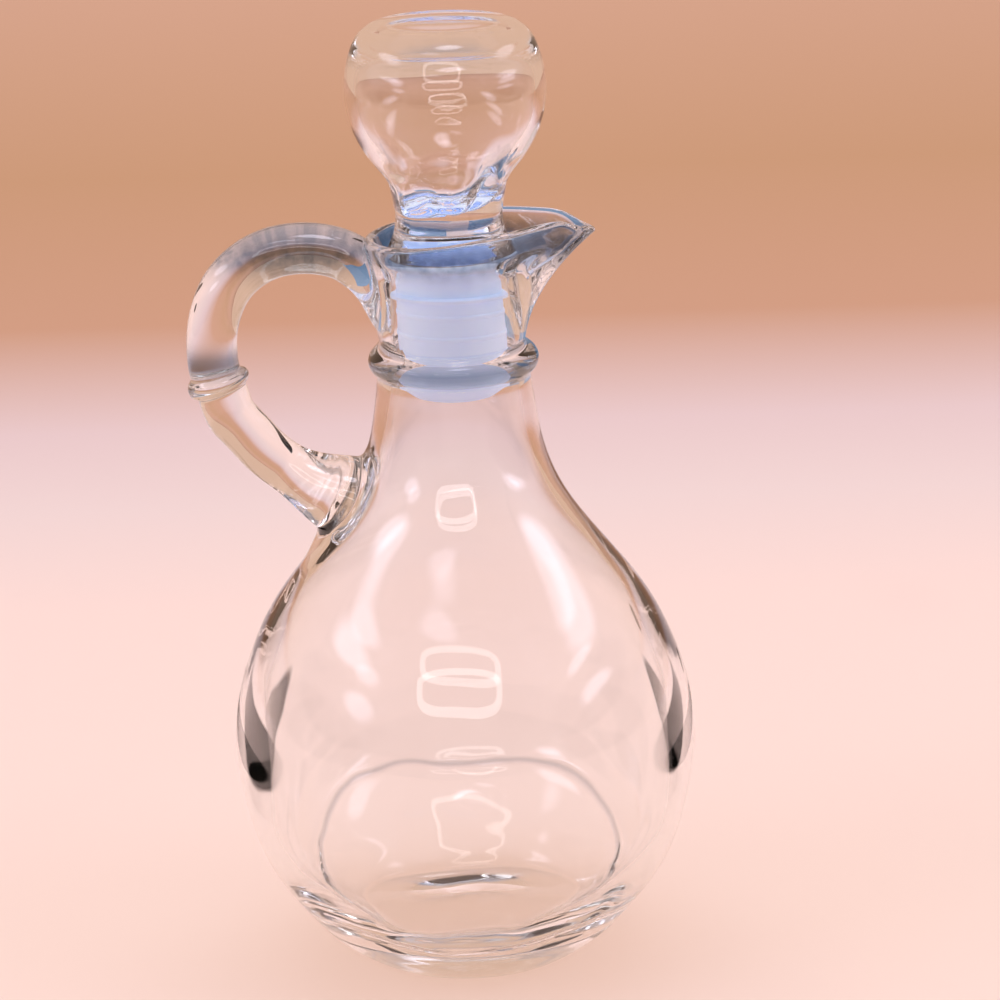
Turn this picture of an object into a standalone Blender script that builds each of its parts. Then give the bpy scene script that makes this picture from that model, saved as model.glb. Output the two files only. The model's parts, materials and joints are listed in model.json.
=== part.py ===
# Glass cruet for oil or vinegar: a pear-shaped bottle with a pouring lip and a
# loop handle, a hollow ball stopper, and the plastic sleeve on the stopper's peg.
# Metres, +Z up. The spout points along +X, the handle along -X, and the foot
# stands on z = 0.
import math

import bmesh
import bpy
from mathutils import Matrix, Vector

# where the bottle's axis stands, so that the origin is under the middle of the box
axis_x = 0.0030

# bottle outside: heights and radii that the pear outline passes through
belly_radius = 0.0445
body_outline = (
    (0.0000, 0.0230),
    (0.0040, 0.0284),
    (0.0098, 0.0335),
    (0.0184, 0.0394),
    (0.0300, 0.0432),
    (0.0430, belly_radius),
    (0.0512, 0.0436),
    (0.0590, 0.0412),
    (0.0667, 0.0377),
    (0.0747, 0.0323),
    (0.0827, 0.0260),
    (0.0908, 0.0205),
    (0.0989, 0.0171),
    (0.1069, 0.0154),
    (0.1140, 0.0145),
)
body_rings = 18

# foot: a flat contact ring round a shallow push-up
foot_radius = 0.0230
foot_ring_width = 0.0040
push_up_height = 0.0015

# collar: the half-round ring on the neck
collar_height = 0.1171
collar_bead = 0.0026
collar_reach = 0.0161
collar_rings = 6

# neck and pouring lip
neck_radius = 0.0136
lip_start = 0.1200
lip_radius = 0.0160
lip_height_back = 0.1408
lip_height_front = 0.1441
lip_rise_power = 1.3
lip_flare_power = 3.0
spout_reach = 0.0112
spout_drop = 0.0022
spout_width = math.radians(18.0)
spout_width_low = math.radians(38.0)
spout_tip_round = math.radians(5.0)
spout_power = 1.65
spout_drop_width = math.radians(6.5)
lip_rings = 7
crest_rings = 4

# glass thickness
lip_wall = 0.0020
spout_wall = 0.0012
neck_bore = 0.0118
bore_flare_start = 0.1325
inner_outline = (
    (0.0090, 0.0215),
    (0.0118, 0.0278),
    (0.0168, 0.0333),
    (0.0245, 0.0374),
    (0.0340, 0.0393),
    (0.0430, 0.0397),
    (0.0512, 0.0390),
    (0.0590, 0.0369),
    (0.0667, 0.0337),
    (0.0747, 0.0286),
    (0.0827, 0.0228),
    (0.0908, 0.0177),
    (0.0989, 0.0146),
    (0.1069, 0.0129),
    (0.1160, neck_bore),
)
inner_rings = 16
floor_height = 0.0075
floor_dome = 0.0008

# handle: the middle line of the loop in the plane y = 0, from the bottle's axis
handle_line = (
    (-0.0085, 0.1265),
    (-0.0125, 0.1315),
    (-0.0163, 0.1350),
    (-0.0195, 0.1373),
    (-0.0235, 0.1387),
    (-0.0287, 0.1391),
    (-0.0341, 0.1381),
    (-0.0386, 0.1356),
    (-0.0419, 0.1322),
    (-0.0440, 0.1280),
    (-0.0451, 0.1236),
    (-0.0453, 0.1193),
    (-0.0448, 0.1152),
    (-0.0435, 0.1110),
    (-0.0424, 0.1076),
    (-0.0401, 0.1047),
    (-0.0364, 0.1003),
    (-0.0309, 0.0958),
    (-0.0245, 0.0920),
    (-0.0165, 0.0885),
)
handle_radius = 0.0048
handle_top_radius = 0.0070
handle_top_length = 0.0120
handle_foot_radius = 0.0092
handle_foot_length = 0.0190
handle_rings = 38
handle_sides = 18

# bead: the small ring round the handle below its widest place, square to the rod
bead_height = 0.1139
bead_side = -0.0400
bead_ring_radius = 0.0043
bead_radius = 0.0017

# tail: the drop of glass where the handle's lower end runs down the shoulder
tail_centre = (-0.0232, 0.0, 0.0812)
tail_size = (0.0046, 0.0075, 0.0110)
tail_lean = math.radians(34.0)

# stopper: heights and radii of the ball and its waisted stem
stopper_top = 0.1810
stopper_outline = (
    (0.1804, 0.0136),
    (0.1788, 0.0156),
    (0.1752, 0.0175),
    (0.1692, 0.0187),
    (0.1635, 0.0181),
    (0.1582, 0.0160),
    (0.1543, 0.0133),
    (0.1514, 0.0113),
    (0.1482, 0.0105),
    (0.1452, 0.0100),
    (0.1425, 0.0102),
    (0.1398, 0.0111),
    (0.1380, 0.0119),
)
stopper_rings = 18
stem_foot = 0.1376
peg_radius = 0.0086
peg_bottom = 0.1146
hollow_outline = (
    (0.1778, 0.0080),
    (0.1755, 0.0130),
    (0.1712, 0.0157),
    (0.1672, 0.0161),
    (0.1622, 0.0152),
    (0.1577, 0.0128),
    (0.1542, 0.0103),
    (0.1512, 0.0086),
    (0.1482, 0.0072),
    (0.1457, 0.0050),
)
hollow_rings = 12
vent_radius = 0.0009
vent_mouth = 0.0006

# sleeve: the plastic tube on the peg, with a fin that reaches the neck's wall
touch_gap = 0.0003
sleeve_radius = 0.0102
sleeve_bottom = 0.1104
sleeve_taper_top = 0.1138
sleeve_end_radius = 0.0072
sleeve_end_bore = 0.0052
sleeve_flange_radius = 0.0124
sleeve_flange_thickness = 0.0013
sleeve_fin_height = 0.1308
sleeve_fin_radius = neck_bore - touch_gap
sleeve_fin_thickness = 0.0006
sleeve_rib_heights = (0.1274, 0.1232, 0.1190)
sleeve_rib_height = 0.0007
sleeve_rib_depth = 0.0003

# fineness
bottle_sides = 56
stopper_sides = 44
sleeve_sides = 40
mid_wall_margin = 0.0010


def clear_scene():
    for item in list(bpy.data.objects):
        bpy.data.objects.remove(item, do_unlink=True)


def glass_material(name, colour, roughness):
    material = bpy.data.materials.new(name)
    material.use_nodes = True
    shader = material.node_tree.nodes["Principled BSDF"]
    shader.inputs["Base Color"].default_value = colour
    shader.inputs["Roughness"].default_value = roughness
    shader.inputs["Metallic"].default_value = 0.0
    shader.inputs["Transmission Weight"].default_value = 1.0
    shader.inputs["IOR"].default_value = 1.5
    return material


def plastic_material(name, colour, roughness):
    material = bpy.data.materials.new(name)
    material.use_nodes = True
    shader = material.node_tree.nodes["Principled BSDF"]
    shader.inputs["Base Color"].default_value = colour
    shader.inputs["Roughness"].default_value = roughness
    shader.inputs["Metallic"].default_value = 0.0
    return material


def smooth_step(value):
    value = min(1.0, max(0.0, value))
    return value * value * (3.0 - 2.0 * value)


def curve_point(stations, place):
    # a point on the smooth curve through the stations, place running from 0 to 1
    spans = len(stations) - 1
    span = min(int(place * spans), spans - 1)
    t = place * spans - span
    first = stations[max(span - 1, 0)]
    second = stations[span]
    third = stations[span + 1]
    fourth = stations[min(span + 2, spans)]
    point = []
    for a, b, c, d in zip(first, second, third, fourth):
        bend = 2.0 * a - 5.0 * b + 4.0 * c - d
        twist = 3.0 * b - a - 3.0 * c + d
        point.append(b + 0.5 * t * ((c - a) + t * (bend + t * twist)))
    return tuple(point)


def curve_points(stations, count):
    # evenly spaced points on the smooth curve, by its length
    fine = [curve_point(stations, step / 400.0) for step in range(401)]
    lengths = [0.0]
    for before, after in zip(fine, fine[1:]):
        lengths.append(lengths[-1] + math.dist(before, after))
    points = []
    index = 0
    for step in range(count):
        wanted = lengths[-1] * step / (count - 1)
        while index < 399 and lengths[index + 1] < wanted:
            index += 1
        share = (wanted - lengths[index]) / (lengths[index + 1] - lengths[index])
        points.append(tuple(a + (b - a) * share for a, b in zip(fine[index], fine[index + 1])))
    return points


def bottle_angles():
    # closer together at the spout, which needs the finest steps
    angles = []
    for step in range(bottle_sides):
        turn = 2.0 * math.pi * step / bottle_sides
        angles.append(turn - 0.4 * math.sin(turn))
    return angles


def spout_angle(angle):
    # how far an angle lies from the spout, rounded over at its tip
    away = abs((angle + math.pi) % (2.0 * math.pi) - math.pi)
    return math.sqrt(away * away + spout_tip_round * spout_tip_round) - spout_tip_round


def rim_height(angle):
    rise = (0.5 + 0.5 * math.cos(angle)) ** lip_rise_power
    drop = math.exp(-((spout_angle(angle) / spout_drop_width) ** 2))
    return lip_height_back + (lip_height_front - lip_height_back) * rise - spout_drop * drop


def lip_outer(angle, share):
    # share runs from 0 at the lip's start to 1 at the crest
    width = spout_width + (spout_width_low - spout_width) * (1.0 - share)
    spout = spout_reach * share ** spout_power * math.exp(-spout_angle(angle) / width)
    flare = (lip_radius - neck_radius) * share ** lip_flare_power
    return neck_radius + flare + spout


def lip_inner(angle, share):
    wall = lip_wall + spout_wall * share * math.exp(-spout_angle(angle) / spout_width_low)
    return lip_outer(angle, share) - wall


def round_ring(radius, height):
    return [(radius, height, angle) for angle in bottle_angles()]


def lip_ring(share, side):
    crest = lip_wall * 0.5
    ring = []
    for angle in bottle_angles():
        height = lip_start + (rim_height(angle) - crest - lip_start) * share
        ring.append((side(angle, share), height, angle))
    return ring


def crest_ring(turn):
    # half a round from the lip's outer side over to its inner side
    crest = lip_wall * 0.5
    ring = []
    for angle in bottle_angles():
        outer = lip_outer(angle, 1.0)
        inner = lip_inner(angle, 1.0)
        middle = 0.5 * (outer + inner)
        half = 0.5 * (outer - inner)
        radius = middle + half * math.cos(turn)
        ring.append((radius, rim_height(angle) - crest + crest * math.sin(turn), angle))
    return ring


def neck_inner_ring(share):
    # from the bore at the bottom of the lip up into its flare
    ring = []
    for angle in bottle_angles():
        height = bore_flare_start + (rim_height(angle) - lip_wall * 0.5 - bore_flare_start) * share
        outer_share = (height - lip_start) / (rim_height(angle) - lip_wall * 0.5 - lip_start)
        open_radius = lip_inner(angle, outer_share)
        blend = smooth_step(share * 1.6)
        ring.append((neck_bore + (open_radius - neck_bore) * blend, height, angle))
    return ring


def outer_rings():
    rings = []
    inner_foot = foot_radius - foot_ring_width
    for share in (0.35, 0.7):
        height = push_up_height * (1.0 - share * share)
        rings.append(round_ring(inner_foot * share, height))
    rings.append(round_ring(inner_foot, 0.0))
    for height, radius in curve_points(body_outline, body_rings):
        rings.append(round_ring(radius, height))
    centre = collar_reach - collar_bead
    for step in range(collar_rings + 1):
        turn = math.radians(-62.0 + 127.0 * step / collar_rings)
        radius = centre + collar_bead * math.cos(turn)
        rings.append(round_ring(radius, collar_height + collar_bead * math.sin(turn)))
    for step in range(lip_rings + 1):
        rings.append(lip_ring(step / lip_rings, lip_outer))
    return rings


def inner_side_rings():
    rings = []
    for step in range(1, crest_rings):
        rings.append(crest_ring(math.pi * step / crest_rings))
    for step in range(5, -1, -1):
        rings.append(neck_inner_ring(step / 5.0))
    for height, radius in reversed(curve_points(inner_outline, inner_rings)):
        rings.append(round_ring(radius, height))
    floor_edge = inner_outline[0][1]
    for share in (0.72, 0.36):
        height = floor_height + floor_dome * (1.0 - share)
        rings.append(round_ring(floor_edge * share, height))
    return rings


def skin(name, rings, start_height, end_height):
    # one closed surface through the rings, each end drawn in to a point on the axis
    mesh = bpy.data.meshes.new(name)
    shape = bmesh.new()
    rows = []
    for ring in rings:
        row = []
        for radius, height, angle in ring:
            place = (radius * math.cos(angle), radius * math.sin(angle), height)
            row.append(shape.verts.new(place))
        rows.append(row)
    for lower, upper in zip(rows, rows[1:]):
        for index in range(len(lower)):
            after = (index + 1) % len(lower)
            shape.faces.new((lower[index], lower[after], upper[after], upper[index]))
    start = shape.verts.new((0.0, 0.0, start_height))
    end = shape.verts.new((0.0, 0.0, end_height))
    for index in range(len(rows[0])):
        after = (index + 1) % len(rows[0])
        shape.faces.new((start, rows[0][after], rows[0][index]))
        shape.faces.new((end, rows[-1][index], rows[-1][after]))
    bmesh.ops.recalc_face_normals(shape, faces=shape.faces)
    shape.to_mesh(mesh)
    shape.free()
    item = bpy.data.objects.new(name, mesh)
    bpy.context.collection.objects.link(item)
    return item


def lathe(name, outline, sides):
    # a closed outline of radii and heights turned once round the axis
    mesh = bpy.data.meshes.new(name)
    shape = bmesh.new()
    corners = [shape.verts.new((radius, 0.0, height)) for radius, height in outline]
    edges = []
    for index, corner in enumerate(corners):
        edges.append(shape.edges.new((corner, corners[(index + 1) % len(corners)])))
    bmesh.ops.spin(
        shape,
        geom=corners + edges,
        cent=(0.0, 0.0, 0.0),
        axis=(0.0, 0.0, 1.0),
        angle=2.0 * math.pi,
        steps=sides,
        use_merge=True,
    )
    bmesh.ops.remove_doubles(shape, verts=shape.verts, dist=1.0e-7)
    bmesh.ops.recalc_face_normals(shape, faces=shape.faces)
    shape.to_mesh(mesh)
    shape.free()
    item = bpy.data.objects.new(name, mesh)
    bpy.context.collection.objects.link(item)
    return item


def handle_path():
    points = curve_points(handle_line, handle_rings)
    return [Vector((x, 0.0, z)) for x, z in points]


def handle_tangent(path, index):
    before = path[max(index - 1, 0)]
    after = path[min(index + 1, len(path) - 1)]
    return (after - before).normalized()


def handle_body():
    # round rod along the middle line, swelling where it joins the bottle
    path = handle_path()
    lengths = [0.0]
    for before, after in zip(path, path[1:]):
        lengths.append(lengths[-1] + (after - before).length)
    mesh = bpy.data.meshes.new("handle_rod")
    shape = bmesh.new()
    rows = []
    side = Vector((0.0, 1.0, 0.0))
    for index, centre in enumerate(path):
        along = handle_tangent(path, index)
        up = along.cross(side)
        top = 1.0 - smooth_step(lengths[index] / handle_top_length)
        foot = 1.0 - smooth_step((lengths[-1] - lengths[index]) / handle_foot_length)
        radius = handle_radius + (handle_top_radius - handle_radius) * top
        radius += (handle_foot_radius - handle_radius) * foot
        row = []
        for step in range(handle_sides):
            turn = 2.0 * math.pi * step / handle_sides
            place = centre + side * (radius * math.cos(turn)) + up * (radius * math.sin(turn))
            row.append(shape.verts.new(place))
        rows.append(row)
    for lower, upper in zip(rows, rows[1:]):
        for index in range(handle_sides):
            after = (index + 1) % handle_sides
            shape.faces.new((lower[index], lower[after], upper[after], upper[index]))
    shape.faces.new(rows[0])
    shape.faces.new(tuple(reversed(rows[-1])))
    bmesh.ops.recalc_face_normals(shape, faces=shape.faces)
    shape.to_mesh(mesh)
    shape.free()
    item = bpy.data.objects.new("handle_rod", mesh)
    bpy.context.collection.objects.link(item)
    return item


def bead_index(path):
    # the ring's height is met on the loop's far side, left of its middle
    far = [index for index, point in enumerate(path) if point.x < bead_side]
    return min(far, key=lambda index: abs(path[index].z - bead_height))


def handle_bead():
    path = handle_path()
    index = bead_index(path)
    along = handle_tangent(path, index)
    turn = Vector((0.0, 0.0, 1.0)).rotation_difference(along).to_matrix().to_4x4()
    bpy.ops.mesh.primitive_torus_add(
        major_radius=bead_ring_radius,
        minor_radius=bead_radius,
        major_segments=24,
        minor_segments=10,
    )
    item = bpy.context.object
    item.name = "handle_bead"
    item.data.transform(Matrix.Translation(path[index]) @ turn)
    return item


def shoulder_tail():
    bpy.ops.mesh.primitive_uv_sphere_add(segments=20, ring_count=12, radius=1.0)
    item = bpy.context.object
    item.name = "shoulder_tail"
    scale = Matrix.Diagonal((*tail_size, 1.0))
    lean = Matrix.Rotation(tail_lean, 4, "Y")
    item.data.transform(Matrix.Translation(tail_centre) @ lean @ scale)
    return item


def mid_wall_core():
    # the middle of the glass wall, so that what joins the outside never reaches the bore
    rings = []
    for ring in outer_rings()[3:]:
        rings.append([(radius - mid_wall_margin, height, angle) for radius, height, angle in ring])
    rings.append([(radius * 0.98, height + 0.012, angle) for radius, height, angle in rings[-1]])
    return skin("mid_wall_core", rings, 0.0, lip_height_front + 0.012)


def add_boolean(target, helper, kind):
    change = target.modifiers.new("join", "BOOLEAN")
    change.operation = kind
    change.solver = "EXACT"
    if isinstance(helper, bpy.types.Collection):
        change.operand_type = "COLLECTION"
        change.collection = helper
    else:
        change.object = helper
    bpy.context.view_layer.objects.active = target
    bpy.ops.object.modifier_apply(modifier=change.name)


def group(name, items):
    made = bpy.data.collections.new(name)
    bpy.context.scene.collection.children.link(made)
    for item in items:
        for owner in list(item.users_collection):
            owner.objects.unlink(item)
        made.objects.link(item)
    return made


def tidy_mesh(item):
    shape = bmesh.new()
    shape.from_mesh(item.data)
    bmesh.ops.remove_doubles(shape, verts=shape.verts, dist=2.0e-6)
    bmesh.ops.dissolve_degenerate(shape, edges=shape.edges, dist=2.0e-6)
    bmesh.ops.recalc_face_normals(shape, faces=shape.faces)
    shape.to_mesh(item.data)
    shape.free()


def finish(item, name, material, sharp_angle):
    item.name = name
    item.data.name = name
    item.data.transform(Matrix.Translation((axis_x, 0.0, 0.0)))
    item.data.materials.clear()
    item.data.materials.append(material)
    item.data.shade_smooth()
    item.data.set_sharp_from_angle(angle=sharp_angle)
    return item


def make_bottle(material):
    rings = outer_rings() + inner_side_rings()
    bottle = skin("bottle", rings, push_up_height, floor_height + floor_dome)
    rod = handle_body()
    tail = shoulder_tail()
    core = mid_wall_core()
    add_boolean(rod, core, "DIFFERENCE")
    add_boolean(tail, core, "DIFFERENCE")
    bpy.data.objects.remove(core, do_unlink=True)
    additions = group("bottle_additions", [rod, handle_bead(), tail])
    add_boolean(bottle, additions, "UNION")
    for item in list(additions.objects):
        bpy.data.objects.remove(item, do_unlink=True)
    bpy.data.collections.remove(additions)
    tidy_mesh(bottle)
    return finish(bottle, "cruet_bottle", material, math.radians(35.0))


def make_stopper(material):
    outline = [(0.0095, stopper_top), (0.0118, stopper_top - 0.00005)]
    for height, radius in curve_points(stopper_outline, stopper_rings):
        outline.append((radius, height))
    outline.append((0.0116, stem_foot))
    outline.append((peg_radius, stem_foot))
    outline.append((peg_radius, peg_bottom + 0.0008))
    outline.append((peg_radius - 0.0008, peg_bottom))
    outline.append((vent_radius, peg_bottom))
    outline.append((vent_radius, hollow_outline[-1][0] - vent_mouth))
    for height, radius in reversed(curve_points(hollow_outline, hollow_rings)):
        outline.append((radius, height))
    outline.append((0.0, hollow_outline[0][0] + 0.0004))
    outline.append((0.0, stopper_top))
    stopper = lathe("stopper", outline, stopper_sides)
    return finish(stopper, "stopper_ball", material, math.radians(40.0))


def make_sleeve(material):
    bore = peg_radius + touch_gap
    top = stem_foot - touch_gap
    flange_under = top - sleeve_flange_thickness
    outline = [(bore, top), (sleeve_flange_radius - 0.0003, top)]
    outline.append((sleeve_flange_radius, top - 0.0003))
    outline.append((sleeve_flange_radius, flange_under + 0.0003))
    outline.append((sleeve_radius, flange_under - 0.0006))
    fin_half = 0.5 * sleeve_fin_thickness
    outline.append((sleeve_radius, sleeve_fin_height + 2.0 * fin_half))
    outline.append((sleeve_fin_radius, sleeve_fin_height + fin_half))
    outline.append((sleeve_fin_radius, sleeve_fin_height - fin_half))
    outline.append((sleeve_radius, sleeve_fin_height - 2.0 * fin_half))
    half = 0.5 * sleeve_rib_height
    for height in sleeve_rib_heights:
        outline.append((sleeve_radius, height + half))
        outline.append((sleeve_radius + sleeve_rib_depth, height))
        outline.append((sleeve_radius, height - half))
    outline.append((sleeve_radius, sleeve_taper_top))
    outline.append((sleeve_end_radius, sleeve_bottom))
    outline.append((sleeve_end_bore, sleeve_bottom))
    outline.append((bore, sleeve_taper_top - 0.0004))
    sleeve = lathe("sleeve", outline, sleeve_sides)
    return finish(sleeve, "stopper_sleeve", material, math.radians(30.0))


def main():
    clear_scene()
    clear_glass = glass_material("clear_glass", (0.94, 0.965, 0.96, 1.0), 0.03)
    stopper_glass = glass_material("stopper_glass", (0.94, 0.965, 0.97, 1.0), 0.03)
    milky_plastic = plastic_material("milky_plastic", (0.80, 0.80, 0.90, 1.0), 0.38)
    make_bottle(clear_glass)
    make_stopper(stopper_glass)
    make_sleeve(milky_plastic)


main()
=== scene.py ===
import json
import math

import bmesh
import bpy
import numpy as np
from mathutils import Matrix, Vector, noise

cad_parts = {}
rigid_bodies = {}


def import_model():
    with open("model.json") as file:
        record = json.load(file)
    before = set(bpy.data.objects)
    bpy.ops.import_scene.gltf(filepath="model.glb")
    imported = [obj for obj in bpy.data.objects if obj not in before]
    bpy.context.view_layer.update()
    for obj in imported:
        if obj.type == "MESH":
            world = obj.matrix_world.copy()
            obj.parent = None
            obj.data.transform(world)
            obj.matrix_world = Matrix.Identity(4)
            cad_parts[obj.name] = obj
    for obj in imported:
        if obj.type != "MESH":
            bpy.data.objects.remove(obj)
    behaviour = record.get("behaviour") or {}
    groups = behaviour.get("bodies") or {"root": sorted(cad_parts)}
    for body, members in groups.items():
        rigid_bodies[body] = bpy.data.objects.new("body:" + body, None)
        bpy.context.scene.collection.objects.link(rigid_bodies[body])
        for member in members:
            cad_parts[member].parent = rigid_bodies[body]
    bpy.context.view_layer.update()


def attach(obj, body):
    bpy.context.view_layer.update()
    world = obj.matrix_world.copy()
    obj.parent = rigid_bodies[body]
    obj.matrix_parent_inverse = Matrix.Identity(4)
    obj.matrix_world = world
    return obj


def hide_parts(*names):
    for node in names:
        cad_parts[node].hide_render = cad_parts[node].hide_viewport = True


for item in list(bpy.data.objects):
    bpy.data.objects.remove(item, do_unlink=True)

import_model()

# the bottle's axis stands this far towards the spout from the origin
axisX = 0.0030


def smoothStep(value):
    value = min(1.0, max(0.0, value))
    return value * value * (3.0 - 2.0 * value)


def bump(value, middle, width):
    return math.exp(-(((value - middle) / width) ** 2))


def splinePoints(stations, count):
    # evenly spaced points on the natural cubic curve through the stations
    points = np.array(stations, float)
    steps = np.linalg.norm(np.diff(points, axis=0), axis=1)
    knots = np.concatenate(([0.0], np.cumsum(steps)))
    size = len(points)
    system = np.eye(size)
    right = np.zeros_like(points)
    for index in range(1, size - 1):
        before = steps[index - 1]
        after = steps[index]
        system[index, index - 1] = before
        system[index, index] = 2.0 * (before + after)
        system[index, index + 1] = after
        rise = (points[index + 1] - points[index]) / after
        fall = (points[index] - points[index - 1]) / before
        right[index] = 6.0 * (rise - fall)
    curvature = np.linalg.solve(system, right)

    def at(places):
        spans = np.clip(np.searchsorted(knots, places) - 1, 0, size - 2)
        width = steps[spans][:, None]
        low = (places - knots[spans])[:, None]
        high = width - low
        part = (curvature[spans] * high**3 + curvature[spans + 1] * low**3) / (6.0 * width)
        part += (points[spans] / width - curvature[spans] * width / 6.0) * high
        part += (points[spans + 1] / width - curvature[spans + 1] * width / 6.0) * low
        return part

    fine = at(np.linspace(0.0, knots[-1], 3000))
    lengths = np.concatenate(([0.0], np.cumsum(np.linalg.norm(np.diff(fine, axis=0), axis=1))))
    wanted = np.linspace(0.0, lengths[-1], count)
    return [tuple(np.interp(place, lengths, column) for column in fine.T) for place in wanted]


def spinOutline(outline, sides):
    # turns a line of (radius, height) once round the axis
    shape = bmesh.new()
    corners = [shape.verts.new((radius, 0.0, height)) for radius, height in outline]
    edges = [shape.edges.new(pair) for pair in zip(corners, corners[1:])]
    bmesh.ops.spin(
        shape,
        geom=corners + edges,
        cent=(0.0, 0.0, 0.0),
        axis=(0.0, 0.0, 1.0),
        angle=2.0 * math.pi,
        steps=sides,
        use_merge=True,
    )
    bmesh.ops.remove_doubles(shape, verts=shape.verts, dist=1.0e-7)
    bmesh.ops.recalc_face_normals(shape, faces=shape.faces)
    return shape


def toObject(shape, name):
    mesh = bpy.data.meshes.new(name)
    shape.to_mesh(mesh)
    shape.free()
    item = bpy.data.objects.new(name, mesh)
    bpy.context.scene.collection.objects.link(item)
    return item


def combine(target, helper, kind):
    change = target.modifiers.new("join", "BOOLEAN")
    change.operation = kind
    change.solver = "EXACT"
    change.object = helper
    bpy.context.view_layer.objects.active = target
    bpy.ops.object.modifier_apply(modifier=change.name)


def dress(item, material, node):
    item.data.transform(Matrix.Translation((axisX, 0.0, 0.0)))
    item.data.materials.clear()
    item.data.materials.append(material)
    item.data.shade_smooth()
    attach(item, "root")
    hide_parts(node)
    print("made", item.name, len(item.data.polygons), "faces")
    return item


# bottle: outline heights and radii, collar, neck and pouring lip
bottle = {
    "outside": (
        (0.0000, 0.0230), (0.0040, 0.0284), (0.0098, 0.0335), (0.0184, 0.0394),
        (0.0300, 0.0432), (0.0430, 0.0445), (0.0512, 0.0436), (0.0590, 0.0412),
        (0.0667, 0.0377), (0.0747, 0.0323), (0.0827, 0.0260), (0.0908, 0.0205),
        (0.0989, 0.0171), (0.1069, 0.0154), (0.1140, 0.0145),
    ),
    "inside": (
        (0.0090, 0.0215), (0.0118, 0.0278), (0.0168, 0.0333), (0.0245, 0.0374),
        (0.0340, 0.0393), (0.0430, 0.0397), (0.0512, 0.0390), (0.0590, 0.0369),
        (0.0667, 0.0337), (0.0747, 0.0286), (0.0827, 0.0228), (0.0908, 0.0177),
        (0.0989, 0.0146), (0.1069, 0.0129), (0.1160, 0.0118),
    ),
    "pushUp": 0.0015,
    "footRing": 0.0040,
    "floorHeight": 0.0083,
    "collarHeight": 0.1171,
    "collarBead": 0.0026,
    "collarReach": 0.0161,
    "neckRadius": 0.0136,
    "boreRadius": 0.0118,
    "boreFlareStart": 0.1325,
    "lipStart": 0.1200,
    "lipRadius": 0.0160,
    "lipBack": 0.1408,
    "lipFront": 0.1441,
    "lipWall": 0.0020,
    "spoutWall": 0.0012,
    "spoutReach": 0.0112,
    "spoutDrop": 0.0022,
    "spoutDropSpread": 6.5,
    "spoutTipRound": 5.0,
    "spoutTopSpread": 18.0,
    "spoutLowSpread": 38.0,
    "spoutCurve": 1.65,
    "spoutPull": 0.35,
    "rimCurve": 1.3,
    "flareSpeed": 1.6,
    "collarFrom": -62.0,
    "collarTurn": 127.0,
    "sides": 240,
    "waviness": 0.00010,
    "waveScale": 55.0,
    "waveTop": 0.112,
    "innerWaves": 3.0,
    "innerFrom": 0.0060,
    "skin": 0.0009,
}

# heel: how uneven the mould leaves the inside there, as (size, waves round it, start)
heel = {
    "top": 0.030,
    "height": 0.011,
    "width": 0.008,
    "folds": ((0.0007, 4.0, 0.5), (0.0004, 7.0, 2.0)),
    "grain": 0.0003,
    "grainScale": 160.0,
}


def spoutAngle(angle):
    # the angle away from the spout's middle, rounded off at its tip
    away = abs((angle + math.pi) % (2.0 * math.pi) - math.pi)
    tipRound = math.radians(bottle["spoutTipRound"])
    return math.sqrt(away * away + tipRound * tipRound) - tipRound


def rimHeight(angle):
    rise = (0.5 + 0.5 * math.cos(angle)) ** bottle["rimCurve"]
    drop = math.exp(-((spoutAngle(angle) / math.radians(bottle["spoutDropSpread"])) ** 2))
    lift = (bottle["lipFront"] - bottle["lipBack"]) * rise
    return bottle["lipBack"] + lift - bottle["spoutDrop"] * drop


def spoutOut(angle, share):
    # how far the spout pulls the lip out, at a share of the lip's height
    low = math.radians(bottle["spoutLowSpread"])
    top = math.radians(bottle["spoutTopSpread"])
    width = top + (low - top) * (1.0 - share)
    reach = bottle["spoutReach"] * share ** bottle["spoutCurve"]
    return reach * math.exp(-spoutAngle(angle) / width)


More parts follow.
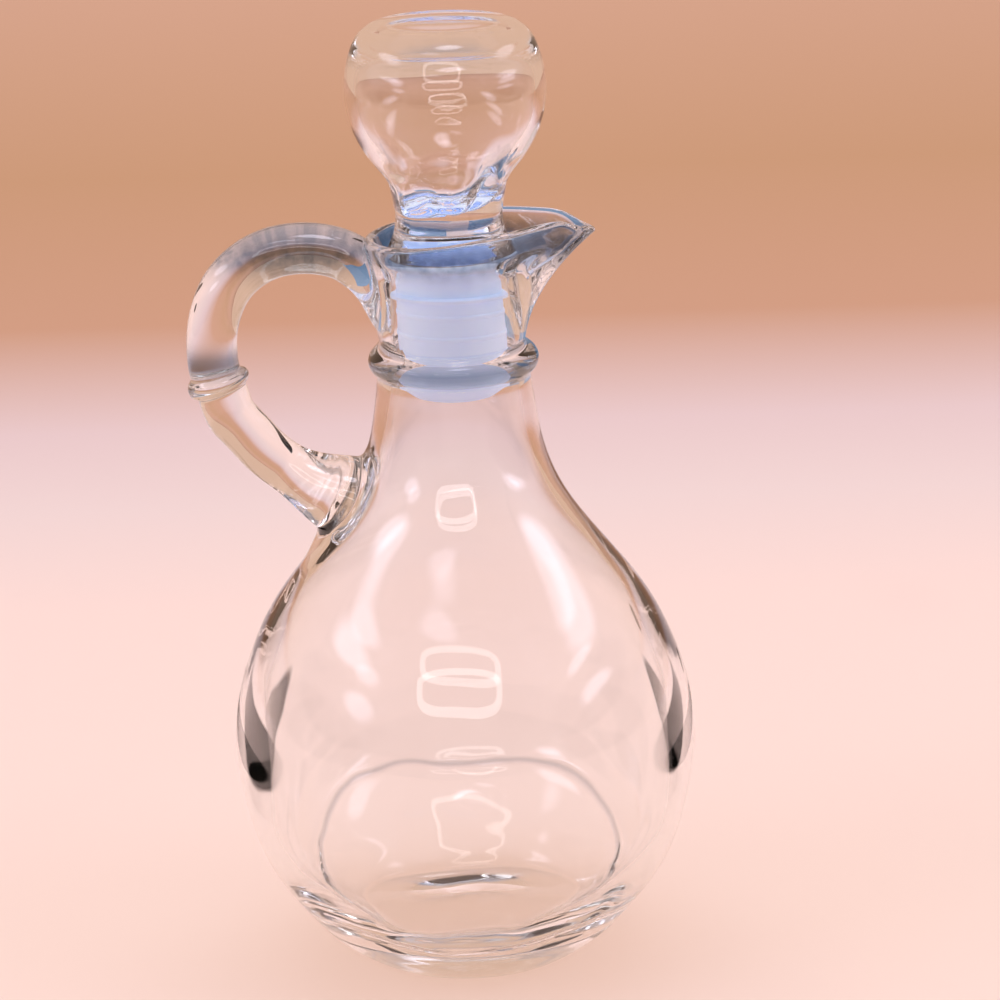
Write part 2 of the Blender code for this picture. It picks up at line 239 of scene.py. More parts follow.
def bottleOutline():
    # half section from the foot's middle up the outside, over the lip and down the inside
    line = [(0.0, bottle["pushUp"])]
    innerFoot = bottle["outside"][0][1] - bottle["footRing"]
    for step in range(1, 13):
        share = step / 12.0
        line.append((innerFoot * share, bottle["pushUp"] * (1.0 - smoothStep(share * 1.15 - 0.15))))
    line.append((innerFoot + 0.0010, 0.0))
    line.append((bottle["outside"][0][1] - 0.0012, 0.0))
    for height, radius in splinePoints(bottle["outside"], 96):
        line.append((radius, height))
    centre = bottle["collarReach"] - bottle["collarBead"]
    for step in range(15):
        turn = math.radians(bottle["collarFrom"] + bottle["collarTurn"] * step / 14)
        place = bottle["collarHeight"] + bottle["collarBead"] * math.sin(turn)
        line.append((centre + bottle["collarBead"] * math.cos(turn), place))
    crest = 0.5 * bottle["lipWall"]
    top = bottle["lipBack"] - crest
    for step in range(21):
        share = step / 20.0
        radius = bottle["neckRadius"] + (bottle["lipRadius"] - bottle["neckRadius"]) * share**3
        line.append((radius, bottle["lipStart"] + (top - bottle["lipStart"]) * share))
    for step in range(1, 10):
        turn = math.pi * step / 9
        line.append((bottle["lipRadius"] - crest + crest * math.cos(turn), top + crest * math.sin(turn)))
    for step in range(17, -1, -1):
        share = step / 18.0
        height = bottle["boreFlareStart"] + (top - bottle["boreFlareStart"]) * share
        outer = (height - bottle["lipStart"]) / (top - bottle["lipStart"])
        wide = bottle["neckRadius"] + (bottle["lipRadius"] - bottle["neckRadius"]) * outer**3
        wide -= bottle["lipWall"]
        blend = smoothStep(share * bottle["flareSpeed"])
        line.append((bottle["boreRadius"] + (wide - bottle["boreRadius"]) * blend, height))
    start = bottle["inside"][-1][0]
    for step in range(9, 0, -1):
        height = start + (bottle["boreFlareStart"] - start) * step / 10.0
        line.append((bottle["boreRadius"], height))
    for height, radius in reversed(splinePoints(bottle["inside"], 84)):
        line.append((radius, height))
    edge = bottle["inside"][0][1]
    for step in range(11, 0, -1):
        share = step / 12.0
        drop = bottle["floorHeight"] - bottle["inside"][0][0]
        line.append((edge * share, bottle["floorHeight"] - drop * smoothStep(share)))
    line.append((0.0, bottle["floorHeight"]))
    return line


def shapeLip(shape):
    # opens the round lip into its pouring spout and lets the rim rise towards the front
    crest = 0.5 * bottle["lipWall"]
    top = bottle["lipBack"] - crest
    for vert in shape.verts:
        x, y, height = vert.co
        radius = math.hypot(x, y)
        turn = math.atan2(y, x)
        angle = turn - bottle["spoutPull"] * math.sin(turn)
        if height > bottle["lipStart"]:
            share = min(1.0, (height - bottle["lipStart"]) / (top - bottle["lipStart"]))
            nominal = bottle["neckRadius"] + (bottle["lipRadius"] - bottle["neckRadius"]) * share**3
            depth = min(1.0, max(0.0, (nominal - radius) / bottle["lipWall"]))
            reach = spoutOut(angle, share)
            low = math.radians(bottle["spoutLowSpread"])
            thick = bottle["spoutWall"] * share * math.exp(-spoutAngle(angle) / low)
            if depth > 0.999 or height < top and radius < nominal - 0.5 * bottle["lipWall"]:
                bore = (height - bottle["boreFlareStart"]) / (top - bottle["boreFlareStart"])
                reach *= smoothStep(bore * bottle["flareSpeed"])
                thick *= smoothStep(bore * bottle["flareSpeed"])
            radius += reach - depth * thick
            height += (rimHeight(angle) - bottle["lipBack"]) * share
        vert.co = (radius * math.cos(angle), radius * math.sin(angle), height)


def shapeWall(shape):
    # the mould leaves the inside a little uneven, most of all round the heel
    for vert in shape.verts:
        x, y, height = vert.co
        radius = math.hypot(x, y)
        if radius < 1.0e-6:
            continue
        inner = isInside(radius, height)
        if not inner and height > bottle["waveTop"]:
            continue
        place = Vector((x, y, height))
        waves = bottle["innerWaves"] if inner else 1.0
        swell = noise.noise(place * bottle["waveScale"]) * waves * bottle["waviness"]
        if inner and height < heel["top"]:
            angle = math.atan2(y, x)
            near = bump(height, heel["height"], heel["width"])
            for size, folds, start in heel["folds"]:
                swell += size * near * math.cos(folds * angle + start)
            swell += heel["grain"] * near * noise.noise(place * heel["grainScale"])
        scale = 1.0 + swell / radius
        vert.co = (x * scale, y * scale, height)


def isInside(radius, height):
    # true for points of the inner surface below the lip
    if height >= bottle["lipStart"]:
        return False
    heights = [place for place, size in bottle["outside"]]
    outer = np.interp(height, heights, [size for place, size in bottle["outside"]])
    return height > bottle["innerFrom"] and radius < outer - bottle["skin"]


# handle: middle line of the loop from the bottle's axis, and how thick the rod is
handle = {
    "line": (
        (-0.0085, 0.1265), (-0.0125, 0.1315), (-0.0163, 0.1350), (-0.0195, 0.1373),
        (-0.0235, 0.1387), (-0.0287, 0.1391), (-0.0341, 0.1381), (-0.0386, 0.1356),
        (-0.0419, 0.1322), (-0.0440, 0.1280), (-0.0451, 0.1236), (-0.0453, 0.1193),
        (-0.0448, 0.1152), (-0.0435, 0.1110), (-0.0424, 0.1076), (-0.0401, 0.1047),
        (-0.0364, 0.1003), (-0.0309, 0.0958), (-0.0245, 0.0920), (-0.0165, 0.0885),
    ),
    "radius": 0.0048,
    "topRadius": 0.0070,
    "topLength": 0.0120,
    "footRadius": 0.0092,
    "footLength": 0.0190,
    "beadHeight": 0.1139,
    "beadRadius": 0.0017,
    "beadOut": 0.0043,
    "farX": -0.0400,
    "uneven": 0.012,
    "unevenScale": 90.0,
    "sides": 64,
    "rings": 260,
}


def handleStations():
    # each ring's middle, direction and radius
    places = [Vector((x, 0.0, z)) for x, z in splinePoints(handle["line"], handle["rings"])]
    lengths = [0.0]
    for before, after in zip(places, places[1:]):
        lengths.append(lengths[-1] + (after - before).length)
    far = [index for index, place in enumerate(places) if place.x < handle["farX"]]
    bead = min(far, key=lambda index: abs(places[index].z - handle["beadHeight"]))
    stations = []
    for index, place in enumerate(places):
        along = (places[min(index + 1, len(places) - 1)] - places[max(index - 1, 0)]).normalized()
        top = 1.0 - smoothStep(lengths[index] / handle["topLength"])
        foot = 1.0 - smoothStep((lengths[-1] - lengths[index]) / handle["footLength"])
        radius = handle["radius"]
        radius += (handle["topRadius"] - handle["radius"]) * top
        radius += (handle["footRadius"] - handle["radius"]) * foot
        spot = Vector((lengths[index] * handle["unevenScale"], 3.0, 1.0))
        radius *= 1.0 + handle["uneven"] * noise.noise(spot)
        away = (lengths[index] - lengths[bead]) / handle["beadRadius"]
        if abs(away) < 1.0:
            ring = handle["beadOut"] + handle["beadRadius"] * math.sqrt(1.0 - away * away)
            radius = max(radius, ring)
        stations.append((place, along, radius))
    return stations


def makeRod():
    # one ring carried along the loop by extruding its edge from station to station
    shape = bmesh.new()
    side = Vector((0.0, 1.0, 0.0))
    frames = []
    for place, along, radius in handleStations():
        up = along.cross(side)
        turned = Matrix((side, up, along)).transposed().to_4x4()
        frames.append(Matrix.Translation(place) @ turned @ Matrix.Scale(radius, 4))
    made = bmesh.ops.create_circle(shape, segments=handle["sides"], radius=1.0, matrix=frames[0])
    edges = list({edge for vert in made["verts"] for edge in vert.link_edges})
    firstEdges = list(edges)
    for before, after in zip(frames, frames[1:]):
        grown = bmesh.ops.extrude_edge_only(shape, edges=edges)["geom"]
        verts = [part for part in grown if isinstance(part, bmesh.types.BMVert)]
        edges = [part for part in grown if isinstance(part, bmesh.types.BMEdge)]
        bmesh.ops.transform(shape, matrix=after @ before.inverted(), verts=verts)
    bmesh.ops.edgenet_fill(shape, edges=firstEdges)
    bmesh.ops.edgenet_fill(shape, edges=edges)
    bmesh.ops.recalc_face_normals(shape, faces=shape.faces)
    return toObject(shape, "rod")


# tail: the drop of glass where the handle's lower end runs down the shoulder
tail = {
    "centre": (-0.0232, 0.0, 0.0812),
    "size": (0.0046, 0.0075, 0.0110),
    "lean": 34.0,
}


def makeTail():
    shape = bmesh.new()
    place = Matrix.Translation(tail["centre"]) @ Matrix.Rotation(math.radians(tail["lean"]), 4, "Y")
    place = place @ Matrix.Diagonal((*tail["size"], 1.0))
    bmesh.ops.create_uvsphere(shape, u_segments=64, v_segments=44, radius=1.0, matrix=place)
    return toObject(shape, "tail")


# wallCore: the middle of the glass wall, how deep it lies and how far up it goes
wallCore = {
    "depth": 0.0010,
    "bottom": 0.003,
    "neck": (0.1200, 0.1330),
    "top": 0.1520,
}


def makeCore():
    # keeps the handle's ends out of the bore
    line = [(0.0, wallCore["bottom"])]
    for height, radius in splinePoints(bottle["outside"], 60)[3:]:
        line.append((radius - wallCore["depth"], height))
    for height in wallCore["neck"]:
        line.append((bottle["neckRadius"] - wallCore["depth"], height))
    line.append((bottle["lipRadius"] - wallCore["depth"], wallCore["top"]))
    line.append((0.0, wallCore["top"]))
    return toObject(spinOutline(line, 128), "core")


# roots: where handle and tail meet the bottle, and the reach and count of smoothing rounds
roots = {
    "lastX": -0.0090,
    "low": 0.060,
    "high": 0.1400,
    "neckHeights": [0.1200, 0.1330, 0.1430],
    "neckSizes": [0.0136, 0.0144, 0.0160],
    "merge": 4.0e-5,
    "smallest": 1.0e-5,
    "rounds": ((0.0012, 14), (0.0022, 14), (0.0034, 10), (0.0050, 4)),
}


def softenRoots(item, stations):
    # rounds the crease where handle and tail meet the bottle
    shape = bmesh.new()
    shape.from_mesh(item.data)
    bmesh.ops.remove_doubles(shape, verts=shape.verts, dist=roots["merge"])
    bmesh.ops.dissolve_degenerate(shape, edges=shape.edges, dist=roots["smallest"])
    places = np.array([place for place, along, radius in stations])
    radii = np.array([radius for place, along, radius in stations])
    heights = [place for place, size in bottle["outside"]] + roots["neckHeights"]
    sizes = [size for place, size in bottle["outside"]] + roots["neckSizes"]
    lean = Matrix.Rotation(-math.radians(tail["lean"]), 3, "Y")
    closeness = {}
    for vert in shape.verts:
        point = vert.co
        if point.x > roots["lastX"] or point.z < roots["low"] or point.z > roots["high"]:
            continue
        beyond = math.hypot(point.x, point.y) - np.interp(point.z, heights, sizes)
        if beyond < -bottle["skin"]:
            continue
        fromBody = abs(beyond)
        gaps = np.abs(np.linalg.norm(places - np.array(point), axis=1) - radii)
        fromRod = float(gaps.min())
        local = lean @ (point - Vector(tail["centre"]))
        scaled = Vector(local[axis] / tail["size"][axis] for axis in range(3))
        fromTail = abs(scaled.length - 1.0) * min(tail["size"])
        closeness[vert] = max(fromBody, min(fromRod, fromTail))
    for reach, rounds in roots["rounds"]:
        near = [vert for vert, gap in closeness.items() if gap < reach]
        for step in range(rounds):
            bmesh.ops.smooth_vert(
                shape, verts=near, factor=0.5, use_axis_x=True, use_axis_y=True, use_axis_z=True
            )
    bmesh.ops.recalc_face_normals(shape, faces=shape.faces)
    shape.to_mesh(item.data)
    shape.free()


def makeBottle(material):
    shape = spinOutline(bottleOutline(), bottle["sides"])
    shapeLip(shape)
    shapeWall(shape)
    bmesh.ops.recalc_face_normals(shape, faces=shape.faces)
    item = toObject(shape, "bottleGlass")
    print("bottle turned")
    rod = makeRod()
    drop = makeTail()
    core = makeCore()
    combine(rod, core, "DIFFERENCE")
    combine(drop, core, "DIFFERENCE")
    combine(item, rod, "UNION")
    combine(item, drop, "UNION")
    for helper in (rod, drop, core):
        bpy.data.objects.remove(helper, do_unlink=True)
    print("handle joined")
    softenRoots(item, handleStations())
    return dress(item, material, "cruet_bottle")


# stopper: blown ball with a flattened top, its waisted stem and the peg in the sleeve
stopper = {
    "outside": (
        (0.1804, 0.0136), (0.1788, 0.0156), (0.1752, 0.0175), (0.1692, 0.0187),
        (0.1635, 0.0181), (0.1582, 0.0160), (0.1543, 0.0133), (0.1514, 0.0113),
        (0.1482, 0.0105), (0.1452, 0.0100), (0.1425, 0.0102), (0.1398, 0.0111),
        (0.1380, 0.0119),
    ),
    "hollow": (
        (0.1784, 0.0000), (0.1783, 0.0060), (0.1772, 0.0115), (0.1748, 0.0147),
        (0.1712, 0.0163), (0.1672, 0.0166), (0.1622, 0.0156), (0.1577, 0.0131),
        (0.1542, 0.0105), (0.1512, 0.0088), (0.1490, 0.0078), (0.1470, 0.0060),
        (0.1461, 0.0030), (0.1459, 0.0000),
    ),
    "top": 0.1810,
    "pegTop": 0.1376,
    "pegRadius": 0.0086,
    "pegBottom": 0.1146,
    "sides": 160,
}


# blown: how uneven the ball's skin and waist are, and the slanting foot of its hollow
blown = {
    "skin": 0.00012,
    "skinScale": 70.0,
    "skinFrom": 0.1390,
    "skinMiddle": 0.004,
    "waist": 0.1455,
    "waistWidth": 0.006,
    "waistSwell": 0.00025,
    "waistScale": (220.0, 220.0, 60.0),
    "foot": 0.1459,
    "footLength": 0.012,
    "slant": 0.22,
    "footWaves": 0.0003,
    "wall": 0.0003,
    "wallScale": 60.0,
    "folds": 0.0007,
    "foldMiddle": 0.006,
    "foldGrain": 0.0005,
    "dish": 0.0005,
    "dishRadius": 0.0110,
}


def makeSkin():
    dish = blown["dish"]
    line = [(0.0, stopper["top"] - dish)]
    for share in (0.25, 0.5, 0.7, 0.82):
        depth = dish * (1.0 - smoothStep(share))
        line.append((blown["dishRadius"] * share, stopper["top"] - depth))
    line.append((0.0108, stopper["top"]))
    line.append((0.0122, stopper["top"] - 0.0001))
    for height, radius in splinePoints(stopper["outside"], 90):
        line.append((radius, height))
    peg = stopper["pegRadius"]
    line.append((0.0117, stopper["pegTop"]))
    line.append((peg, stopper["pegTop"] - 0.0002))
    for step in range(1, 12):
        height = stopper["pegTop"] + (stopper["pegBottom"] + 0.0010 - stopper["pegTop"]) * step / 11.0
        line.append((peg, height))
    line.append((peg - 0.0010, stopper["pegBottom"]))
    line.append((0.0, stopper["pegBottom"]))
    shape = spinOutline(line, stopper["sides"])
    for vert in shape.verts:
        point = vert.co
        radius = math.hypot(point.x, point.y)
        swell = blown["skin"] * noise.noise(point * blown["skinScale"])
        waist = bump(point.z, blown["waist"], blown["waistWidth"])
        streak = Vector(part * scale for part, scale in zip(point, blown["waistScale"]))
        swell += blown["waistSwell"] * waist * noise.noise(streak)
        if point.z > blown["skinFrom"] and radius > blown["skinMiddle"]:
            point.xy = point.xy * (1.0 + swell / radius)
    return toObject(shape, "stopperGlass")


def makeHollow():
    # the blown hollow ends in an uneven slanting foot with folds in its side
    line = [(radius, height) for height, radius in splinePoints(stopper["hollow"], 90)]
    line[0] = (0.0, line[0][1])
    line[-1] = (0.0, line[-1][1])
    shape = spinOutline(line, stopper["sides"])
    for vert in shape.verts:
        point = vert.co
        low = 1.0 - smoothStep((point.z - blown["foot"]) / blown["footLength"])
        radius = math.hypot(point.x, point.y)
        angle = math.atan2(point.y, point.x)
        point.z += low * (blown["slant"] * point.x + blown["footWaves"] * math.cos(3.0 * angle))
        if radius > 1.0e-6:
            swell = blown["wall"] * noise.noise(point * blown["wallScale"])
            fold = low * blown["folds"] * math.cos(5.0 * angle + 1.2)
            swell += fold * smoothStep(radius / blown["foldMiddle"])
            around = Vector((math.cos(angle) * 3.0, math.sin(angle) * 3.0, 5.0))
            swell += low * blown["foldGrain"] * noise.noise(around)
            point.xy = point.xy * (1.0 + swell / radius)
    bmesh.ops.reverse_faces(shape, faces=shape.faces)
    return toObject(shape, "hollow")


def makeStopper(material):
    skin = makeSkin()
    hollow = makeHollow()
    bpy.ops.object.select_all(action="DESELECT")
    hollow.select_set(True)
    skin.select_set(True)
    bpy.context.view_layer.objects.active = skin
    bpy.ops.object.join()
    return dress(skin, material, "stopper_ball")


# sleeve: milky tube on the peg with a flange, a fin that meets the neck and fine ribs
sleeve = {
    "bore": 0.0089,
    "radius": 0.0102,
    "top": 0.1373,
    "flangeRadius": 0.0124,
    "flangeThickness": 0.0013,
    "finHeight": 0.1308,
    "finRadius": 0.0115,
    "ribs": (0.1274, 0.1232, 0.1190, 0.1159),
    "ribDepth": 0.0002,
    "taperTop": 0.1138,
    "bottom": 0.1104,
    "endRadius": 0.0072,
    "endBore": 0.0052,
    "sides": 128,
}


def makeSleeve(material):
    radius = sleeve["radius"]
    line = [(sleeve["bore"], sleeve["top"])]
    edge = sleeve["flangeRadius"]
    half = 0.5 * sleeve["flangeThickness"]
    for step in range(9):
        turn = math.radians(90.0 - 180.0 * step / 8)
        line.append((edge - half + half * math.cos(turn), sleeve["top"] - half + half * math.sin(turn)))
    line.append((radius + 0.0003, sleeve["top"] - 2.0 * half - 0.0001))
    line.append((radius, sleeve["top"] - 2.0 * half - 0.0006))
    line.append((radius, sleeve["finHeight"] + 0.0006))
    line.append((sleeve["finRadius"] - 0.0001, sleeve["finHeight"] + 0.0003))
    line.append((sleeve["finRadius"], sleeve["finHeight"]))
    line.append((sleeve["finRadius"] - 0.0001, sleeve["finHeight"] - 0.0003))
    line.append((radius, sleeve["finHeight"] - 0.0006))
    for height in sleeve["ribs"]:
        for step in range(9):
            turn = math.radians(180.0 * step / 8)
            line.append((radius + sleeve["ribDepth"] * math.sin(turn), height + 0.0005 * math.cos(turn)))
    line.append((radius, sleeve["taperTop"] + 0.0003))
    line.append((radius - 0.0002, sleeve["taperTop"] - 0.0001))
    line.append((sleeve["endRadius"] + 0.0003, sleeve["bottom"] + 0.0003))
    line.append((sleeve["endRadius"], sleeve["bottom"]))
    line.append((sleeve["endBore"], sleeve["bottom"]))
    line.append((sleeve["bore"], sleeve["taperTop"] - 0.0004))
    line.append(line[0])
    item = toObject(spinOutline(line, sleeve["sides"]), "sleevePlastic")
    item = dress(item, material, "stopper_sleeve")
    item.data.set_sharp_from_angle(angle=math.radians(50.0))
    return item


def setInputs(node, **values):
    # each value goes to the input of that name, with _ standing for a space
    for name, value in values.items():
        node.inputs[name.replace("_", " ")].default_value = value
    return node


def addNode(tree, kind, **values):
    return setInputs(tree.nodes.new(kind), **values)


def newMaterial(name):
    material = bpy.data.materials.new(name)
    material.use_nodes = True
    tree = material.node_tree
    return material, tree, tree.nodes["Principled BSDF"]


# smears: marks of handling, where they start and end and how rough they are
smears = {"scale": 38.0, "from": 0.45, "to": 0.75, "roughness": 0.05}


def surfaceGroup():
    # slow waves of pressed glass and the faint smears of handling
    group = bpy.data.node_groups.new("glassSurface", "ShaderNodeTree")
    for name, kind in (("Wave", "NodeSocketFloat"), ("Scale", "NodeSocketFloat")):
        group.interface.new_socket(name, in_out="INPUT", socket_type=kind)
    for name in ("Height", "Roughness"):
        group.interface.new_socket(name, in_out="OUTPUT", socket_type="NodeSocketFloat")
    source = group.nodes.new("NodeGroupInput")
    target = group.nodes.new("NodeGroupOutput")
    place = group.nodes.new("ShaderNodeTexCoord")
    slow = addNode(group, "ShaderNodeTexNoise", Detail=1.5, Roughness=0.45)
    smear = addNode(group, "ShaderNodeTexNoise", Scale=smears["scale"], Detail=4.0, Roughness=0.6)
    height = group.nodes.new("ShaderNodeMath")
    height.operation = "MULTIPLY"
    span = addNode(group, "ShaderNodeMapRange", From_Min=smears["from"], From_Max=smears["to"])
    setInputs(span, To_Min=0.0, To_Max=smears["roughness"])
    links = group.links
    links.new(place.outputs["Object"], slow.inputs["Vector"])
    links.new(source.outputs["Scale"], slow.inputs["Scale"])
    links.new(slow.outputs["Fac"], height.inputs[0])
    links.new(source.outputs["Wave"], height.inputs[1])
    links.new(place.outputs["Object"], smear.inputs["Vector"])
    links.new(smear.outputs["Fac"], span.inputs["Value"])
    links.new(height.outputs[0], target.inputs["Height"])
    links.new(span.outputs[0], target.inputs["Roughness"])
    return group


def calcWith(group):
    # a short way to write sums with Math nodes
    def calc(operation, *values):
        node = group.nodes.new("ShaderNodeMath")
        node.operation = operation
        for socket, value in zip(node.inputs, values):
            if isinstance(value, (int, float)):
                socket.default_value = value
            else:
                group.links.new(value, socket)
        return node.outputs[0]

    return calc


def placeIn(group):
    # the point's own x, y and z, its distance from the bottle's axis and the Math helper
    calc = calcWith(group)
    place = group.nodes.new("ShaderNodeTexCoord")
    split = group.nodes.new("ShaderNodeSeparateXYZ")
    group.links.new(place.outputs["Object"], split.inputs[0])
    x, y, z = (split.outputs[axis] for axis in "XYZ")
    across = calc("SUBTRACT", x, axisX)
    radius = calc("SQRT", calc("ADD", calc("MULTIPLY", across, across), calc("MULTIPLY", y, y)))
    return place, y, z, radius, calc


def hill(calc, value, middle, width):
    away = calc("DIVIDE", calc("SUBTRACT", value, middle), width)
    return calc("EXPONENT", calc("MULTIPLY", calc("MULTIPLY", away, away), -1.0))


# crease: height of the heel's line at the axis, its slopes, its four soft corners and size,
# and the slanting inner wall that it ends at
crease = {
    "height": 0.0120,
    "slope": 0.20,
    "frontSlope": 0.06,
    "corners": 0.0015,
    "wobble": 0.0028,
    "wobbleScale": 55.0,
    "width": 0.0005,
    "rise": 0.45,
    "wallFoot": 0.009,
    "wallSlope": 0.86,
    "wallRadius": 0.029,
}


def creaseRidge(group):
    # the raised line where the inside of the heel runs into the bottom, 0 to 1
    place, y, z, radius, calc = placeIn(group)
    wobble = addNode(group, "ShaderNodeTexNoise", Scale=crease["wobbleScale"], Detail=2.0)
    group.links.new(place.outputs["Object"], wobble.inputs["Vector"])
    line = calc("MULTIPLY_ADD", calc("MAXIMUM", y, 0.0), crease["slope"], crease["height"])
    line = calc("MULTIPLY_ADD", calc("MINIMUM", y, 0.0), crease["frontSlope"], line)
    turn = calc("POWER", calc("DIVIDE", y, calc("MAXIMUM", radius, 0.001)), 2.0)
    corner = calc("MULTIPLY", calc("SUBTRACT", turn, calc("MULTIPLY", turn, turn)), 8.0)
    line = calc("MULTIPLY_ADD", calc("SUBTRACT", corner, 1.0), crease["corners"], line)
    line = calc("MULTIPLY_ADD", wobble.outputs["Fac"], crease["wobble"], line)
    above = calc("SUBTRACT", z, crease["wallFoot"])
    wall = calc("MULTIPLY_ADD", above, crease["wallSlope"], crease["wallRadius"])
    return calc("MULTIPLY", hill(calc, z, line, crease["width"]), calc("LESS_THAN", radius, wall))


def creaseGroup():
    group = bpy.data.node_groups.new("heelCrease", "ShaderNodeTree")
    group.interface.new_socket("Height", in_out="OUTPUT", socket_type="NodeSocketFloat")
    target = group.nodes.new("NodeGroupOutput")
    calc = calcWith(group)
    group.links.new(calc("MULTIPLY", creaseRidge(group), crease["rise"]), target.inputs["Height"])
    return group


# thick: where painted shade darkens the glass, how much and in what colour
thick = {
    "colour": (0.13, 0.18, 0.25, 1.0),
    "lipHeight": 0.1385,
    "lipWidth": 0.0034,
    "lipRadius": 0.0132,
    "lipShade": 0.45,
    "speckle": 0.9,
    "speckleScale": 520.0,
    "collarWidth": 0.0026,
    "collarRadius": 0.0149,
    "collarShade": 0.90,
    "creaseShade": 0.60,
}


def paintedShadeGroup(tint):
    # painted shade: the glass colour is made darker and bluer in the lip's rim, the collar bead and the
    # heel crease
    group = bpy.data.node_groups.new("paintedShadeGlass", "ShaderNodeTree")
    group.interface.new_socket("Color", in_out="OUTPUT", socket_type="NodeSocketColor")
    target = group.nodes.new("NodeGroupOutput")
    place, y, z, radius, calc = placeIn(group)
    speckle = addNode(group, "ShaderNodeTexNoise", Scale=thick["speckleScale"], Detail=3.0)
    group.links.new(place.outputs["Object"], speckle.inputs["Vector"])
    lip = hill(calc, z, thick["lipHeight"], thick["lipWidth"])
    lip = calc("MULTIPLY", lip, calc("GREATER_THAN", radius, thick["lipRadius"]))
    dots = calc("MULTIPLY_ADD", speckle.outputs["Fac"], thick["speckle"], thick["lipShade"])
    lip = calc("MULTIPLY", lip, dots)
    collar = hill(calc, z, bottle["collarHeight"], thick["collarWidth"])
    collar = calc("MULTIPLY", collar, calc("GREATER_THAN", radius, thick["collarRadius"]))
    collar = calc("MULTIPLY", collar, thick["collarShade"])
    line = calc("MULTIPLY", creaseRidge(group), thick["creaseShade"])
    share = calc("MINIMUM", calc("MAXIMUM", calc("MAXIMUM", lip, collar), line), 1.0)
    mix = group.nodes.new("ShaderNodeMix")
    mix.data_type = "RGBA"
    mix.inputs["A"].default_value = tint
    mix.inputs["B"].default_value = thick["colour"]
    group.links.new(share, mix.inputs["Factor"])
    group.links.new(mix.outputs["Result"], target.inputs["Color"])
    return group


# looks of the two glasses and of the sleeve's plastic
looks = {
    "bottle": {
        "tint": (0.985, 0.985, 0.985, 1.0),
        "ior": 1.5,
        "wave": 0.14,
        "waveScale": 45.0,
        "shadowTint": (0.93, 0.905, 0.875, 1.0),
        "creased": True,
    },
    "stopper": {
        "tint": (0.985, 0.985, 0.99, 1.0),
        "ior": 1.5,
        "wave": 0.12,
        "waveScale": 60.0,
        "shadowTint": (0.97, 0.95, 0.94, 1.0),
        "creased": False,
    },
    "sleeve": {
        "colour": (0.69, 0.84, 0.98, 1.0),
        "cloud": (0.75, 0.89, 0.99, 1.0),
        # glow: painted light, an emission standing in for light let through the plastic
        "glow": (0.05, 0.09, 0.24, 1.0),
        "roughness": 0.38,
        "roughnessSpan": 0.08,
        "ior": 1.48,
        "depth": 0.35,
        "spread": (1.0, 0.9, 1.1),
        "spreadSize": 0.002,
        "cloudScale": 260.0,
    },
}


def glassMaterial(name, look, surface):
    material, tree, shader = newMaterial(name)
    setInputs(shader, Base_Color=look["tint"], Metallic=0.0, IOR=look["ior"])
    setInputs(shader, Transmission_Weight=1.0)
    group = tree.nodes.new("ShaderNodeGroup")
    group.node_tree = surface
    setInputs(group, Wave=look["wave"], Scale=look["waveScale"])
    relief = addNode(tree, "ShaderNodeBump", Strength=1.0, Distance=0.001)
    path = tree.nodes.new("ShaderNodeLightPath")
    passing = tree.nodes.new("ShaderNodeMath")
    passing.operation = "MAXIMUM"
    through = addNode(tree, "ShaderNodeBsdfTransparent", Color=look["shadowTint"])
    mix = tree.nodes.new("ShaderNodeMixShader")
    links = tree.links
    height = group.outputs["Height"]
    if look["creased"]:
        line = tree.nodes.new("ShaderNodeGroup")
        line.node_tree = creaseGroup()
        total = tree.nodes.new("ShaderNodeMath")
        links.new(height, total.inputs[0])
        links.new(line.outputs["Height"], total.inputs[1])
        height = total.outputs[0]
        # painted shade: a darker blue glass colour in the lip's rim, the collar bead and the heel crease
        shadeTint = tree.nodes.new("ShaderNodeGroup")
        shadeTint.node_tree = paintedShadeGroup(look["tint"])
        links.new(shadeTint.outputs["Color"], shader.inputs["Base Color"])
    links.new(height, relief.inputs["Height"])
    links.new(relief.outputs["Normal"], shader.inputs["Normal"])
    links.new(group.outputs["Roughness"], shader.inputs["Roughness"])
    links.new(path.outputs["Is Shadow Ray"], passing.inputs[0])
    links.new(path.outputs["Is Diffuse Ray"], passing.inputs[1])
    links.new(passing.outputs[0], mix.inputs[0])
    links.new(shader.outputs[0], mix.inputs[1])
    links.new(through.outputs[0], mix.inputs[2])
    links.new(mix.outputs[0], tree.nodes["Material Output"].inputs["Surface"])
    return material


def plasticMaterial(name, look):
    material, tree, shader = newMaterial(name)
    setInputs(shader, Metallic=0.0, IOR=look["ior"], Subsurface_Weight=look["depth"])
    setInputs(shader, Subsurface_Radius=look["spread"], Subsurface_Scale=look["spreadSize"])
    # painted glow: an emission that stands in for light let through from behind
    setInputs(shader, Emission_Color=look["glow"], Emission_Strength=1.0)
    place = tree.nodes.new("ShaderNodeTexCoord")
    scale = look["cloudScale"]
    cloud = addNode(tree, "ShaderNodeTexNoise", Scale=scale, Detail=3.0, Roughness=0.55)
    tint = tree.nodes.new("ShaderNodeMix")
    tint.data_type = "RGBA"
    tint.inputs["A"].default_value = look["colour"]
    tint.inputs["B"].default_value = look["cloud"]
    smooth = look["roughness"] - look["roughnessSpan"]
    rough = look["roughness"] + look["roughnessSpan"]
    finish = addNode(tree, "ShaderNodeMapRange", To_Min=smooth, To_Max=rough)
    relief = addNode(tree, "ShaderNodeBump", Strength=0.25, Distance=0.0002)
    links = tree.links
    links.new(place.outputs["Object"], cloud.inputs["Vector"])
    links.new(cloud.outputs["Fac"], tint.inputs["Factor"])
    links.new(tint.outputs["Result"], shader.inputs["Base Color"])
    links.new(cloud.outputs["Fac"], finish.inputs["Value"])
    links.new(finish.outputs[0], shader.inputs["Roughness"])
    links.new(cloud.outputs["Fac"], relief.inputs["Height"])
    links.new(relief.outputs["Normal"], shader.inputs["Normal"])
    return material
